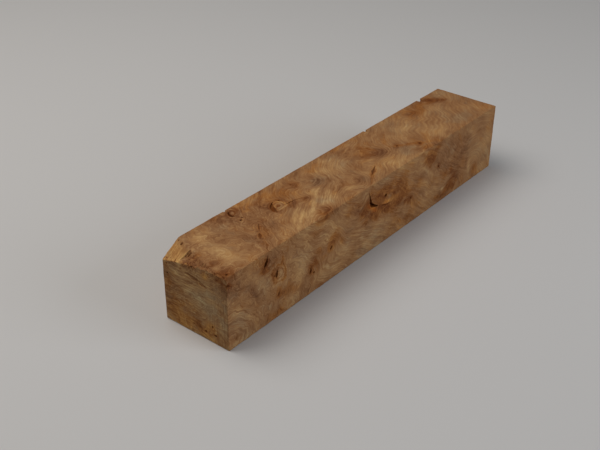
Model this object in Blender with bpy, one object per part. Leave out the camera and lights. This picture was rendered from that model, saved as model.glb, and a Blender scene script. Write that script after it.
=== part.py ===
# A turning block of elm burl: one sawn stick with a cut corner, a torn edge beside it, and natural voids.
# Metres, +Z up. The origin is the bottom centre. +X runs from the near end to the far end,
# and the long side with the forked crack faces -Y.
import math

import bmesh
import bpy
from mathutils import Matrix, Vector, noise

MM = 0.001

# Driving dimensions
LENGTH = 300.0 * MM
WIDTH = 52.0 * MM
HEIGHT = 51.5 * MM
EDGE_EASE = 0.5 * MM

# The cut corner at the near end: how far the cut reaches along each of the three edges that met there
CORNER_ALONG = 14.2 * MM
CORNER_ACROSS = 36.6 * MM
CORNER_DOWN = 8.8 * MM

# The torn edge beside the cut corner, at stations across the near end in mm:
# (y, how far it is broken back along the top, how far it is broken down the end)
TORN_EDGE = (
    (12.6, 10.4, 6.4),
    (9.2, 9.2, 5.5),
    (4.5, 7.2, 4.2),
    (0.5, 5.4, 3.4),
    (-4.1, 3.9, 2.1),
    (-8.4, 2.4, 1.5),
    (-12.9, 1.5, 1.3),
    (-18.0, 1.0, 1.3),
    (-22.5, 0.9, 1.1),
    (-28.0, 1.1, 1.4),
)
TORN_LEFT_TOP_Y = 10.0 * MM
TORN_LEFT_LOW_Y = 13.0 * MM
TORN_HOLLOW = 0.9 * MM
TORN_ROUGHNESS = 0.8 * MM
TORN_COLUMNS = 34
TORN_ROWS = 11
TORN_OVERRUN = 0.45
TORN_CUTTER_HEIGHT = 14.0 * MM

# Each crack, slit and gap: its face, its depth in mm, and (place on the face, width) stations in mm.
# Places are (x, y) on top and bottom, (x, z) on the sides and (y, z) on the ends.
CRACKS = {
    "big_eye_gap": ("top", 3.2, (
        (-76.9, 0.2, 0.5), (-76.2, 2.4, 1.3), (-75.1, 4.9, 1.5), (-73.4, 7.2, 1.3), (-71.2, 8.8, 0.9),
        (-69.2, 9.4, 0.4),
    )),
    "big_eye_tail": ("top", 1.2, (
        (-65.6, 1.6, 0.4), (-63.4, 1.3, 0.9), (-60.2, 0.9, 0.7), (-56.6, 0.3, 0.6), (-53.2, -1.2, 0.4),
    )),
    "small_eye_gap": ("top", 2.6, (
        (-97.2, 22.6, 0.4), (-98.4, 21.2, 1.0), (-98.7, 19.5, 1.3), (-97.9, 17.9, 1.0), (-96.4, 17.0, 0.6),
        (-94.8, 16.9, 0.3),
    )),
    "upper_slit": ("top", 3.0, (
        (-99.4, -6.0, 0.4), (-98.4, -4.9, 1.4), (-97.1, -3.4, 1.7), (-95.8, -2.2, 1.2), (-94.4, -0.9, 0.4),
    )),
    "lower_slit": ("top", 2.6, (
        (-105.8, -12.5, 0.5), (-104.9, -11.4, 1.8), (-103.7, -10.2, 2.1), (-102.3, -8.7, 0.6),
    )),
    "ridge_slit": ("top", 3.4, (
        (1.6, -16.9, 0.6), (3.3, -15.9, 2.2), (5.3, -15.0, 2.7), (7.4, -14.0, 1.7), (9.6, -12.9, 0.5),
    )),
    "side_upper_slit": ("side", 4.2, (
        (-115.0, 47.6, 0.5), (-115.4, 46.4, 1.3), (-116.0, 44.9, 1.6), (-116.6, 43.6, 2.1), (-117.2, 42.4, 0.6),
    )),
    "side_lens_slit": ("side", 4.0, (
        (-106.4, 34.3, 0.5), (-106.5, 33.0, 1.5), (-107.0, 31.2, 2.1), (-107.2, 29.7, 0.6),
    )),
    "side_low_slit": ("side", 4.0, (
        (-73.8, 21.2, 0.5), (-74.0, 19.5, 1.3), (-74.3, 17.4, 2.0), (-74.7, 15.4, 0.7),
    )),
    "forked_crack": ("side", 5.0, (
        (-13.4, 45.0, 0.4), (-12.6, 42.6, 0.9), (-11.9, 39.9, 1.7), (-11.2, 37.8, 1.9), (-9.6, 36.0, 2.2),
        (-7.2, 34.4, 1.9), (-4.8, 33.2, 1.2), (-2.6, 32.4, 0.4),
    )),
    "side_crease": ("side", 1.3, (
        (9.8, 30.6, 0.4), (12.2, 29.4, 1.0), (14.4, 28.6, 1.2), (16.4, 28.2, 0.4),
    )),
    "end_crack": ("near", 2.8, (
        (7.0, 41.6, 0.5), (4.6, 41.2, 1.0), (1.2, 40.5, 1.3), (-2.6, 39.5, 1.3), (-6.2, 38.7, 1.4),
        (-9.4, 37.9, 0.5),
    )),
    "back_crack": ("back", 4.5, (
        (33.0, 34.6, 0.4), (37.4, 33.2, 1.5), (41.6, 30.6, 2.1), (45.2, 26.8, 1.6), (47.6, 22.4, 0.5),
    )),
    "back_eye_gap": ("back", 2.8, (
        (-69.6, 29.4, 0.4), (-72.4, 28.2, 1.3), (-74.0, 25.4, 1.6), (-73.4, 22.4, 1.1), (-71.4, 20.4, 0.4),
    )),
    "bottom_slit": ("bottom", 3.0, (
        (52.4, 9.0, 0.5), (54.6, 10.6, 1.8), (57.0, 11.8, 1.9), (59.4, 12.6, 0.6),
    )),
    "far_crack": ("far", 2.4, (
        (-9.4, 30.2, 0.4), (-6.2, 31.6, 1.1), (-2.8, 32.2, 1.3), (1.0, 31.6, 0.5),
    )),
}

# Each pit and edge notch: its face, its centre on the face, length, width and depth in mm, and its turn in degrees
PITS = {
    "corner_pit": ("top", -139.3, 19.8, 2.3, 2.0, 3.4, 0),
    "corner_pinhole": ("top", -137.7, 23.9, 1.3, 1.0, 2.0, 0),
    "torn_hollow": ("top", -143.6, 8.6, 3.4, 1.8, 5.2, -20),
    "torn_pinhole": ("near", 1.3, 48.2, 2.0, 1.2, 2.8, 10),
    "edge_pit": ("top", -147.1, -23.4, 1.6, 1.2, 1.2, 30),
    "eye_pinhole": ("top", -65.2, 7.9, 1.5, 1.3, 1.8, 0),
    "pair_pit_left": ("top", -98.2, 10.2, 1.8, 1.5, 1.6, 30),
    "pair_pit_right": ("top", -95.5, 11.8, 1.5, 1.3, 1.4, 30),
    "shallow_pit": ("top", 60.4, -16.4, 4.4, 2.8, 1.7, 40),
    "faint_pit": ("top", 46.4, -6.2, 2.4, 1.6, 0.7, 20),
    "side_near_pit": ("side", -105.2, 16.6, 2.6, 1.4, 2.2, 80),
    "side_lens_dot": ("side", -109.0, 31.6, 1.2, 1.0, 1.2, 0),
    "side_low_pit": ("side", -71.0, 14.4, 2.0, 1.3, 1.8, 10),
    "side_red_pit": ("side", -53.8, 24.3, 2.8, 1.6, 1.6, 60),
    "side_mid_pit": ("side", 6.1, 36.5, 3.2, 1.9, 2.6, -10),
    "side_far_pit": ("side", 37.2, 20.5, 3.2, 2.3, 2.2, 20),
    "side_faint_pit": ("side", 71.8, 31.8, 1.8, 1.3, 0.9, 0),
    "side_edge_pit": ("side", -149.0, 45.8, 2.6, 1.4, 1.3, -20),
    "end_low_pit": ("near", -15.4, 6.0, 2.0, 1.4, 1.6, 20),
    "end_mid_pit": ("near", -7.6, 5.9, 1.9, 1.4, 1.5, 0),
    "end_high_pit": ("near", -13.1, 11.6, 1.8, 1.3, 1.6, 40),
    "end_left_pit": ("near", 22.4, 34.6, 2.4, 1.2, 1.1, 70),
    "end_top_pit": ("near", 22.4, 41.6, 1.4, 1.1, 1.0, 0),
    "far_notch": ("back_edge", 122.0, 26.0, 5.2, 4.2, 3.4, 0),
    "middle_notch": ("back_edge", 51.6, 26.0, 3.2, 2.6, 2.2, 0),
    "near_notch": ("back_edge", -96.6, 26.0, 2.6, 1.6, 1.2, 0),
    "back_knot_pit": ("back", 12.2, 21.4, 3.4, 2.4, 2.4, 35),
    "back_high_pit": ("back", -28.4, 38.6, 2.2, 1.7, 1.8, 10),
    "back_far_pit": ("back", 96.8, 14.6, 3.0, 1.9, 2.0, 60),
    "back_near_pit": ("back", -118.0, 17.2, 2.4, 1.8, 1.8, -20),
    "back_low_pit": ("back", -40.6, 9.8, 2.0, 1.5, 1.4, 0),
    "bottom_near_pit": ("bottom", -84.0, -8.6, 3.0, 2.2, 1.8, 25),
    "bottom_far_pit": ("bottom", 104.6, -12.4, 2.6, 1.8, 1.6, -15),
    "far_low_pit": ("far", 10.6, 13.8, 2.4, 1.8, 1.8, 0),
    "far_high_pit": ("far", -14.8, 41.4, 1.8, 1.4, 1.4, 0),
}

CRACK_PROFILE = ((-0.5, -0.6), (-0.44, 0.32), (-0.2, 0.85), (0.08, 1.0), (0.34, 0.72), (0.5, 0.2), (0.5, -0.6))
PIT_OVAL_SIDES = 10
PIT_RINGS = (0.0, 0.42, 0.78, 1.0)
PIT_RAGGEDNESS = 0.16

BURL_COLOUR = (0.36, 0.20, 0.095, 1.0)
BURL_ROUGHNESS = 0.62


def clear_scene():
    for old in list(bpy.data.objects):
        bpy.data.objects.remove(old, do_unlink=True)


# A face's frame: its two in-plane directions are the first two columns and inward is the third,
# so a point (a, b, depth) in mm on the face becomes a place in the block.
def face_frame(face):
    right, along, up = Vector((0, 1, 0)), Vector((1, 0, 0)), Vector((0, 0, 1))
    frames = {
        "top": (along, right, -up, up * HEIGHT),
        "bottom": (along, right, up, Vector((0, 0, 0))),
        "side": (along, up, right, -right * WIDTH / 2),
        "back": (along, up, -right, right * WIDTH / 2),
        "near": (right, up, along, -along * LENGTH / 2),
        "far": (right, up, -along, along * LENGTH / 2),
        "back_edge": (along, right, -up, up * HEIGHT),
    }
    first, second, inward, origin = frames[face]
    turn = Matrix((first, second, inward)).transposed()
    return Matrix.Translation(origin) @ turn.to_4x4() @ Matrix.Diagonal((MM, MM, MM, 1.0))


def object_from(name, bm):
    bm.normal_update()
    bmesh.ops.recalc_face_normals(bm, faces=bm.faces)
    mesh = bpy.data.meshes.new(name)
    bm.to_mesh(mesh)
    bm.free()
    obj = bpy.data.objects.new(name, mesh)
    bpy.context.scene.collection.objects.link(obj)
    return obj


# Joins rings of vertices into one closed skin, with a face at each end.
def skin_rings(bm, rings):
    for ring, following in zip(rings, rings[1:]):
        for i, vertex in enumerate(ring):
            j = (i + 1) % len(ring)
            bm.faces.new((vertex, ring[j], following[j], following[i]))
    bm.faces.new(rings[0])
    bm.faces.new(reversed(rings[-1]))


# A crack is one lopsided V carried along its stations, as wide as each station says and shallow at its ends.
def crack_cutter(name, face, depth, stations):
    frame = face_frame(face)
    widest = max(width for _, _, width in stations)
    bm = bmesh.new()
    rings = []
    for i, (a, b, width) in enumerate(stations):
        before, after = stations[max(i - 1, 0)], stations[min(i + 1, len(stations) - 1)]
        run = Vector((after[0] - before[0], after[1] - before[1])).normalized()
        sideways = Vector((-run.y, run.x))
        deep = depth * math.sqrt(width / widest)
        ring = []
        for across, down in CRACK_PROFILE:
            at = Vector((a, b)) + sideways * across * width
            ring.append(bm.verts.new(frame @ Vector((at.x, at.y, down * deep))))
        rings.append(ring)
    skin_rings(bm, rings)
    return object_from(name, bm)


# A pit is an oval bowl with a ragged rim: rings that shrink as the cosine of their depth.
def pit_cutter(name, face, a, b, length, width, depth, turn):
    frame = face_frame(face)
    turned = Matrix.Rotation(math.radians(turn), 2)
    bm = bmesh.new()
    rings = []
    for down in (-0.5,) + PIT_RINGS[:-1]:
        reach = math.cos(max(down, 0.0) * math.pi / 2)
        ring = []
        for i in range(PIT_OVAL_SIDES):
            angle = 2 * math.pi * i / PIT_OVAL_SIDES
            ragged = 1 + PIT_RAGGEDNESS * noise.noise(Vector((a + i * 1.7, b, down * 2)))
            oval = turned @ Vector((math.cos(angle) * length, math.sin(angle) * width)) * 0.5 * reach * ragged
            ring.append(bm.verts.new(frame @ Vector((a + oval.x, b + oval.y, down * depth))))
        rings.append(ring)
    for ring, following in zip(rings, rings[1:]):
        for i, vertex in enumerate(ring):
            j = (i + 1) % len(ring)
            bm.faces.new((vertex, ring[j], following[j], following[i]))
    floor = bm.verts.new(frame @ Vector((a, b, PIT_RINGS[-1] * depth)))
    for i, vertex in enumerate(rings[-1]):
        bm.faces.new((vertex, rings[-1][(i + 1) % PIT_OVAL_SIDES], floor))
    bm.faces.new(rings[0])
    return object_from(name, bm)


# A notch is an oval ball that sits on the top edge of the back.
def notch_cutter(name, a, b, length, width, depth):
    frame = face_frame("back_edge")
    bm = bmesh.new()
    bmesh.ops.create_icosphere(bm, subdivisions=2, radius=1.0)
    for vertex in bm.verts:
        ragged = 1 + PIT_RAGGEDNESS * noise.noise(vertex.co * 1.9 + Vector((a, 0, 0)))
        size = Vector((length / 2, width, depth)) * ragged
        vertex.co = frame @ (Vector((a, b, 0)) + vertex.co * size)
    return object_from(name, bm)


def torn_station(y):
    y_mm = y / MM
    for (y0, back0, down0), (y1, back1, down1) in zip(TORN_EDGE, TORN_EDGE[1:]):
        if y_mm >= y1:
            share = max(0.0, (y0 - y_mm) / (y0 - y1))
            return (back0 + (back1 - back0) * share) * MM, (down0 + (down1 - down0) * share) * MM
    return TORN_EDGE[-1][1] * MM, TORN_EDGE[-1][2] * MM


# The torn edge is a ruled sheet from the top's broken line to the end's, hollowed between them and
# roughened with ridges that run down the slope, then thickened outwards into a cutter.
def torn_cutter():
    bm = bmesh.new()
    slope_out = Vector((-CORNER_DOWN, 0, CORNER_ALONG)).normalized()
    sheets = ([], [])
    for i in range(TORN_COLUMNS + 1):
        along = i / TORN_COLUMNS
        for sheet in sheets:
            sheet.append([])
        for j in range(TORN_ROWS + 1):
            down = -TORN_OVERRUN + (1 + 2 * TORN_OVERRUN) * j / TORN_ROWS
            left_y = TORN_LEFT_TOP_Y + (TORN_LEFT_LOW_Y - TORN_LEFT_TOP_Y) * down
            y = left_y + (TORN_EDGE[-1][0] * MM - left_y) * along
            back, drop = torn_station(y)
            top = Vector((-LENGTH / 2 + back, y, HEIGHT))
            low = Vector((-LENGTH / 2, y, HEIGHT - drop))
            size = min(1.0, back / TORN_HOLLOW / 4)
            hollow = TORN_HOLLOW * max(0.0, math.sin(math.pi * min(max(down, 0.0), 1.0)))
            ridges = noise.noise(Vector((0.4 * down, y / MM * 0.42, 3.0)))
            crumbs = noise.noise(Vector((down * 4.0, y / MM * 0.9, 7.0)))
            rough = TORN_ROUGHNESS * (0.7 * ridges + 0.4 * crumbs)
            at = top.lerp(low, down) - slope_out * size * (hollow + rough)
            sheets[0][i].append(bm.verts.new(at))
            sheets[1][i].append(bm.verts.new(at + slope_out * TORN_CUTTER_HEIGHT))
    under, over = sheets
    for i in range(TORN_COLUMNS):
        for j in range(TORN_ROWS):
            bm.faces.new((under[i][j], under[i + 1][j], under[i + 1][j + 1], under[i][j + 1]))
    for i in range(TORN_COLUMNS):
        for j in range(TORN_ROWS):
            bm.faces.new((over[i][j + 1], over[i + 1][j + 1], over[i + 1][j], over[i][j]))
    for j in range(TORN_ROWS):
        bm.faces.new((under[0][j], under[0][j + 1], over[0][j + 1], over[0][j]))
        bm.faces.new((over[-1][j], over[-1][j + 1], under[-1][j + 1], under[-1][j]))
    for i in range(TORN_COLUMNS):
        bm.faces.new((under[i + 1][0], under[i][0], over[i][0], over[i + 1][0]))
        bm.faces.new((over[i + 1][-1], over[i][-1], under[i][-1], under[i + 1][-1]))
    return object_from("torn_edge_cutter", bm)


# The sawn stick, with its corner cut off on one flat plane and every sawn edge a little worn.
def sawn_stick():
    bm = bmesh.new()
    bmesh.ops.create_cube(bm, size=1.0)
    bmesh.ops.scale(bm, vec=(LENGTH, WIDTH, HEIGHT), verts=bm.verts)
    bmesh.ops.translate(bm, vec=(0, 0, HEIGHT / 2), verts=bm.verts)
    corner = Vector((-LENGTH / 2, WIDTH / 2, HEIGHT))
    along = corner + Vector((CORNER_ALONG, 0, 0))
    across = corner - Vector((0, CORNER_ACROSS, 0))
    down = corner - Vector((0, 0, CORNER_DOWN))
    normal = (across - along).cross(down - along).normalized()
    if normal.dot(corner - along) < 0:
        normal.negate()
    geometry = bm.verts[:] + bm.edges[:] + bm.faces[:]
    bmesh.ops.bisect_plane(bm, geom=geometry, plane_co=along, plane_no=normal, clear_outer=True)
    open_edges = [edge for edge in bm.edges if edge.is_boundary]
    bmesh.ops.contextual_create(bm, geom=open_edges)
    bmesh.ops.bevel(bm, geom=bm.edges[:], offset=EDGE_EASE, segments=2, profile=0.5, affect="EDGES")
    return object_from("elm_burl_block", bm)


def burl_material():
    material = bpy.data.materials.new("elm_burl")
    material.use_nodes = True
    shader = material.node_tree.nodes["Principled BSDF"]
    shader.inputs["Base Color"].default_value = BURL_COLOUR
    shader.inputs["Roughness"].default_value = BURL_ROUGHNESS
    shader.inputs["Metallic"].default_value = 0.0
    return material


def cut_with(block, name, cutters):
    group = bpy.data.collections.new(name)
    bpy.context.scene.collection.children.link(group)
    for cutter in cutters:
        group.objects.link(cutter)
        bpy.context.scene.collection.objects.unlink(cutter)
        cutter.hide_render = True
        cutter.display_type = "WIRE"
    cut = block.modifiers.new(name, "BOOLEAN")
    cut.operation = "DIFFERENCE"
    cut.operand_type = "COLLECTION"
    cut.collection = group
    cut.solver = "EXACT"


def build():
    clear_scene()
    block = sawn_stick()
    block.data.materials.append(burl_material())
    cut_with(block, "torn_edge", [torn_cutter()])
    cracks = [crack_cutter(name, *crack) for name, crack in CRACKS.items()]
    pits = []
    for name, (face, a, b, length, width, depth, turn) in PITS.items():
        if face == "back_edge":
            pits.append(notch_cutter(name, a, b, length, width, depth))
        else:
            pits.append(pit_cutter(name, face, a, b, length, width, depth, turn))
    cut_with(block, "voids", cracks + pits)


build()
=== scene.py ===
import bpy
import numpy as np
from mathutils import Matrix, Vector
from mathutils.geometry import delaunay_2d_cdt


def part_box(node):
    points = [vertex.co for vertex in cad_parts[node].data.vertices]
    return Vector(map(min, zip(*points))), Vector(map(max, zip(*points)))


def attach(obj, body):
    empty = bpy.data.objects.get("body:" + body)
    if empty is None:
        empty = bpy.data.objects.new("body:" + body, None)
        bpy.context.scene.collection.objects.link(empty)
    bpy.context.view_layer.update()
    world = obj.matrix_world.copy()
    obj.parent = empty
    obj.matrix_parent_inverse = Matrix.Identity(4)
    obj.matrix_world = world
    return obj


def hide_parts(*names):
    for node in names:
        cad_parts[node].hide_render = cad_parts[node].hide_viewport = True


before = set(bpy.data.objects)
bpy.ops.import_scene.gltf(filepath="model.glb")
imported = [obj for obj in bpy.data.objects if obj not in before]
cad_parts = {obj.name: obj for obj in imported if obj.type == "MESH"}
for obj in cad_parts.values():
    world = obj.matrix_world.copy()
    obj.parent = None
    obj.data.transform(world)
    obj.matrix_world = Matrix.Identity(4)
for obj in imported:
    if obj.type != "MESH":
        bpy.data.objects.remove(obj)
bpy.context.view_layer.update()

mm = 0.001
blockLow, blockHigh = (np.array(end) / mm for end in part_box("elm_burl_block"))
length, width, height = blockHigh - blockLow
nearX, farX, sideY, backY = blockLow[0], blockHigh[0], blockLow[1], blockHigh[1]

# Each face: its two in-plane axes, the fixed axis and its value, the way in, and the mesh spacing in mm
faces = {
    "top": (0, 1, 2, height, -1, 0.92), "bottom": (0, 1, 2, 0.0, 1, 1.5), "side": (0, 2, 1, sideY, 1, 0.95),
    "back": (0, 2, 1, backY, -1, 1.2), "near": (1, 2, 0, nearX, 1, 0.8), "far": (1, 2, 0, farX, -1, 1.1),
}

# The corner that was cut off, in mm along the three edges that met there, and the torn edge beside it:
# stations across the near end as (y, broken back along the top, broken down the end)
corner = {
    "along": 14.2, "across": 36.6, "down": 8.8, "fibres": 0.12,
    "tornEdge": [
        (12.6, 9.8, 5.7), (9.2, 9.2, 5.1), (4.5, 7.2, 4.2), (0.5, 5.4, 3.4), (-4.1, 3.9, 2.1),
        (-8.4, 2.4, 1.5), (-12.9, 1.5, 1.3), (-18.0, 1.0, 1.3), (-22.5, 0.9, 1.1), (-28.0, 1.1, 1.4)],
    "tornLeft": (10.0, 13.0), "ragged": (0.35, 0.25), "hollow": 0.8, "hollowSkew": (1.7, 1.6),
    "ridges": 0.75, "crumbs": 0.5, "fullBreak": 4.0,
}

# Each crack, slit or gap: face, depth, and stations (place on the face, width). Places are (x, y) on top
# and bottom, (x, z) on the sides, (y, z) on the ends.
cracks = {
    "bigEyeGap": {"face": "top", "depth": 1.7, "path": [
        (-76.8, -0.6, 0.8), (-76.1, 2.2, 2.5), (-75.0, 4.7, 2.7), (-73.3, 7.0, 2.0), (-71.1, 8.7, 0.9),
        (-69.2, 9.4, 0.4)]},
    "bigEyeTail": {"face": "top", "depth": 0.6, "path": [
        (-65.6, 1.6, 0.4), (-63.4, 1.3, 0.8), (-60.2, 0.9, 0.6), (-56.6, 0.3, 0.5), (-53.2, -1.2, 0.3)]},
    "smallEyeGap": {"face": "top", "depth": 1.6, "path": [
        (-95.8, 22.8, 0.4), (-97.0, 21.8, 1.0), (-98.1, 19.8, 1.5), (-98.3, 18.0, 1.3), (-97.4, 16.7, 0.7),
        (-96.1, 16.1, 0.3)]},
    "upperSlit": {"face": "top", "depth": 0.5, "path": [
        (-99.4, -6.0, 0.4), (-98.4, -4.9, 0.7), (-97.1, -3.4, 0.9), (-95.8, -2.2, 0.7), (-94.4, -0.9, 0.4)]},
    "lowerSlit": {"face": "top", "depth": 0.8, "path": [
        (-105.8, -12.5, 0.6), (-104.9, -11.4, 1.6), (-103.7, -10.2, 1.7), (-102.3, -8.7, 0.6)]},
    "ridgeSlit": {"face": "top", "depth": 1.2, "path": [
        (0.4, -17.6, 0.4), (2.4, -16.6, 1.1), (4.2, -15.8, 2.3), (6.0, -14.9, 2.0), (8.4, -13.6, 0.9),
        (12.0, -11.7, 0.4)]},
    "sideUpperSlit": {"face": "side", "depth": 5.0, "path": [
        (-115.0, 47.8, 0.5), (-115.5, 46.4, 1.3), (-116.2, 44.9, 1.9), (-116.9, 43.6, 2.1),
        (-117.7, 42.0, 0.5)]},
    "sideLensSlit": {"face": "side", "depth": 2.4, "path": [
        (-106.4, 34.3, 0.5), (-106.5, 33.0, 1.5), (-107.0, 31.2, 2.1), (-107.2, 29.7, 0.6)]},
    "sideLowSlit": {"face": "side", "depth": 1.8, "path": [
        (-74.3, 20.2, 0.4), (-74.4, 18.8, 1.1), (-74.6, 16.9, 1.7), (-74.9, 15.2, 0.6)]},
    "forkedCrack": {"face": "side", "depth": 5.4, "path": [
        (-13.9, 46.6, 0.4), (-13.0, 43.6, 1.0), (-12.2, 40.7, 1.7), (-11.3, 38.0, 2.2), (-9.9, 35.8, 2.7),
        (-7.4, 34.5, 2.0), (-5.0, 33.4, 1.2), (-3.2, 32.6, 0.4)]},
    "sideCrease": {"face": "side", "depth": 0.6, "path": [
        (1.4, 30.9, 0.4), (4.4, 29.9, 0.8), (8.2, 29.0, 0.8), (12.6, 28.4, 0.4)]},
    "endCrack": {"face": "near", "depth": 0.7, "path": [
        (7.0, 41.6, 0.8), (4.6, 41.2, 1.6), (1.2, 40.5, 2.2), (-2.6, 39.5, 2.3), (-6.2, 38.7, 2.1),
        (-9.4, 37.9, 0.8)]},
    "backCrack": {"face": "back", "depth": 4.5, "path": [
        (33.0, 34.6, 0.4), (37.4, 33.2, 1.5), (41.6, 30.6, 2.1), (45.2, 26.8, 1.6), (47.6, 22.4, 0.5)]},
    "backEyeGap": {"face": "back", "depth": 2.8, "path": [
        (-69.6, 29.4, 0.4), (-72.4, 28.2, 1.3), (-74.0, 25.4, 1.6), (-73.4, 22.4, 1.1), (-71.4, 20.4, 0.4)]},
    "bottomSlit": {"face": "bottom", "depth": 3.0, "path": [
        (52.4, 9.0, 0.5), (54.6, 10.6, 1.8), (57.0, 11.8, 1.9), (59.4, 12.6, 0.6)]},
    "farCrack": {"face": "far", "depth": 2.4, "path": [
        (-9.4, 30.2, 0.4), (-6.2, 31.6, 1.1), (-2.8, 32.2, 1.3), (1.0, 31.6, 0.5)]},
}

# Each pit, by face: centre on the face, length, width and depth in mm, and its turn in degrees
pits = {
    "top": [
        (-139.3, 19.8, 1.9, 1.5, 1.2, 0), (-137.7, 23.9, 1.2, 0.9, 0.6, 0), (-143.2, 9.4, 1.9, 1.4, 1.0, -20),
        (-147.1, -23.4, 1.6, 1.2, 1.2, 30), (-65.0, 7.9, 1.4, 1.2, 1.0, 0), (-98.2, 10.2, 1.6, 1.3, 1.0, 30),
        (-95.5, 11.8, 1.4, 1.2, 1.0, 30), (60.4, -16.4, 3.8, 2.2, 0.85, 40), (46.4, -6.2, 2.2, 1.4, 0.5, 20)],
    "side": [
        (-105.2, 16.6, 2.3, 1.3, 0.9, 80), (-109.0, 31.6, 1.2, 1.0, 1.0, 0), (-71.3, 14.6, 1.9, 1.3, 1.4, 10),
        (-53.8, 24.3, 2.8, 1.6, 2.2, 60), (5.6, 36.8, 2.8, 1.7, 2.6, -10), (37.1, 20.5, 2.6, 1.9, 1.2, 20),
        (71.8, 31.8, 1.8, 1.3, 0.9, 0), (-149.0, 45.8, 2.6, 1.2, 0.9, -20)],
    "near": [
        (1.3, 48.2, 2.0, 1.2, 2.2, 10), (-15.4, 6.0, 2.0, 1.4, 1.4, 20), (-7.6, 5.9, 1.9, 1.4, 1.3, 0),
        (-13.1, 11.6, 1.8, 1.3, 1.4, 40), (22.4, 34.6, 2.4, 1.2, 1.0, 70), (22.4, 41.6, 1.4, 1.1, 0.9, 0)],
    "back": [
        (12.2, 21.4, 3.4, 2.4, 2.4, 35), (-28.4, 38.6, 2.2, 1.7, 1.8, 10), (96.8, 14.6, 3.0, 1.9, 2.0, 60),
        (-118.0, 17.2, 2.4, 1.8, 1.8, -20), (-40.6, 9.8, 2.0, 1.5, 1.4, 0)],
    "bottom": [(-84.0, -8.6, 3.0, 2.2, 1.8, 25), (104.6, -12.4, 2.6, 1.8, 1.6, -15)],
    "far": [(10.6, 13.8, 2.4, 1.8, 1.8, 0), (-14.8, 41.4, 1.8, 1.4, 1.4, 0)],
}

# Notches broken out of the back's top edge: x, half length, and how far they reach across the top and down
notches = [(122.0, 2.6, 4.2, 3.4), (51.6, 1.6, 2.6, 2.2), (-96.6, 1.3, 1.6, 1.2)]

# Grown eyes and swirls, by face, which the growth lines wrap: centre, two radii in mm, turn in degrees,
# and how strongly the lines wrap it
eyes = {
    "top": [
        (-70.3, 4.3, 6.2, 5.0, 20, 1.2), (-95.9, 20.0, 3.6, 3.2, 0, 1.2), (-97.0, 11.0, 3.0, 1.8, 30, 0.4),
        (-97.0, -3.4, 7.0, 2.6, 48, 0.7), (-104.0, -10.4, 5.0, 2.4, 48, 0.7), (-50.6, -3.6, 3.2, 2.6, 20, 0.9),
        (-43.0, 12.5, 4.8, 3.6, -15, 0.9), (-29.0, 6.5, 6.6, 5.0, 10, 0.8), (-11.0, -15.5, 7.5, 5.6, 50, 1.1),
        (29.0, -1.0, 8.5, 6.0, -20, 0.8), (60.4, -16.4, 4.6, 3.2, 30, 0.8), (46.4, -6.2, 4.0, 2.4, 20, 0.6),
        (128.0, 17.5, 7.5, 5.0, -35, 0.9), (97.0, 16.0, 5.0, 3.6, 0, 0.7), (-54.5, -23.6, 5.6, 3.4, 10, 0.8),
        (-145.0, -22.0, 6.0, 4.0, 20, 0.6), (5.6, -14.8, 6.0, 3.0, 30, 0.7),
        (-120.0, -16.0, 17.0, 15.0, 25, 0.75)],
    "side": [
        (-116.0, 43.0, 5.4, 6.5, 10, 1.0), (-104.0, 31.6, 6.6, 6.0, -10, 1.2), (-105.0, 16.6, 4.4, 3.4, 0, 0.7),
        (-73.8, 17.2, 4.6, 6.0, 0, 1.0), (-53.6, 24.8, 3.6, 4.4, 50, 0.9), (-10.0, 37.0, 7.0, 5.6, -40, 0.9),
        (8.0, 34.5, 9.0, 4.6, -14, 0.9), (37.2, 20.5, 4.6, 3.6, 15, 0.7), (61.0, 42.0, 7.4, 5.4, -30, 0.8),
        (95.0, 8.0, 8.4, 5.6, 10, 0.9), (125.0, 11.0, 5.2, 6.0, 0, 0.7), (-144.0, 13.0, 24.0, 21.0, 0, 0.75),
        (-87.0, 21.0, 9.0, 12.0, 5, 0.8), (-46.5, 30.5, 5.0, 4.4, -20, 0.6), (-66.0, 27.0, 8.0, 5.0, -20, 0.5)],
    "near": [
        (-11.5, 8.0, 7.4, 5.4, 20, 1.0), (-2.4, 9.4, 2.6, 4.6, 0, 0.8), (22.6, 36.0, 3.0, 5.4, 0, 0.6),
        (2.0, 31.0, 10.0, 7.0, 0, 0.8), (16.0, 14.0, 7.0, 8.0, 0, 0.6)],
    "back": [
        (-70.4, 25.0, 5.2, 6.0, 0, 1.2), (41.0, 29.5, 9.0, 4.4, -45, 0.8), (12.2, 21.4, 4.8, 3.6, 35, 0.8),
        (96.8, 14.6, 5.4, 4.0, 50, 0.8), (-118.0, 17.2, 4.6, 3.8, 0, 0.7), (-28.4, 38.6, 4.2, 3.2, 0, 0.7),
        (-8.0, 12.0, 8.4, 6.0, 20, 0.8), (128.0, 38.0, 6.6, 5.2, -30, 0.7), (70.0, 30.0, 14.0, 9.0, 10, 0.7)],
    "bottom": [
        (56.0, 11.0, 6.0, 3.0, 25, 0.8), (-84.0, -8.6, 5.0, 4.0, 0, 0.8), (-30.0, 8.0, 8.0, 6.0, -20, 0.7),
        (104.6, -12.4, 4.8, 3.6, 0, 0.7), (20.0, -10.0, 12.0, 7.0, 20, 0.6)],
    "far": [(-4.0, 30.0, 6.6, 4.6, 10, 0.8), (10.6, 13.8, 5.0, 4.0, 0, 0.8)],
}

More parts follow.
